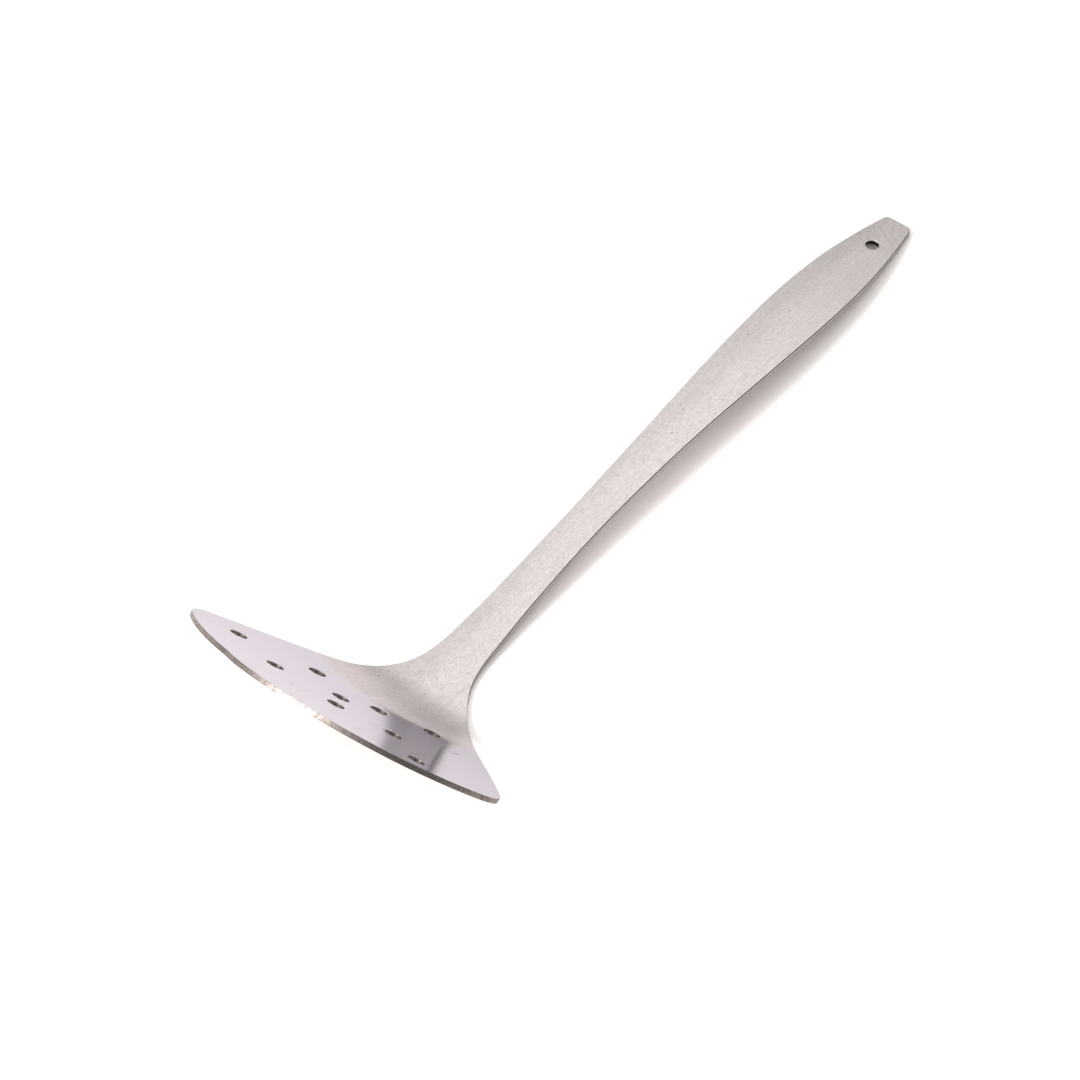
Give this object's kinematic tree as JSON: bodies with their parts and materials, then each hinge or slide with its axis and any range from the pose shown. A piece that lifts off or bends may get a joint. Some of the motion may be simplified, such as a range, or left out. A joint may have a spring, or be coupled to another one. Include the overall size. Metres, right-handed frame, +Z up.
{
  "type": "potato masher",
  "caption": "Hand masher pressed from one strip of stainless steel: a crowned handle with a hanging hole, a narrow waist and a perforated plate bent up from it.",
  "frame": {"origin": "centre of the bounding box, on the surface that the tool lies on, on its back", "axes": "X runs along the tool from the plate to the handle end, Y across it, Z up from the surface"},
  "size_m": [0.2904, 0.1078, 0.0548],
  "materials": {
    "steel": "satin on the handle, polished on the plate"
  },
  "bodies": {
    "root": {"masher_body": "steel"}
  },
  "joints": []
}
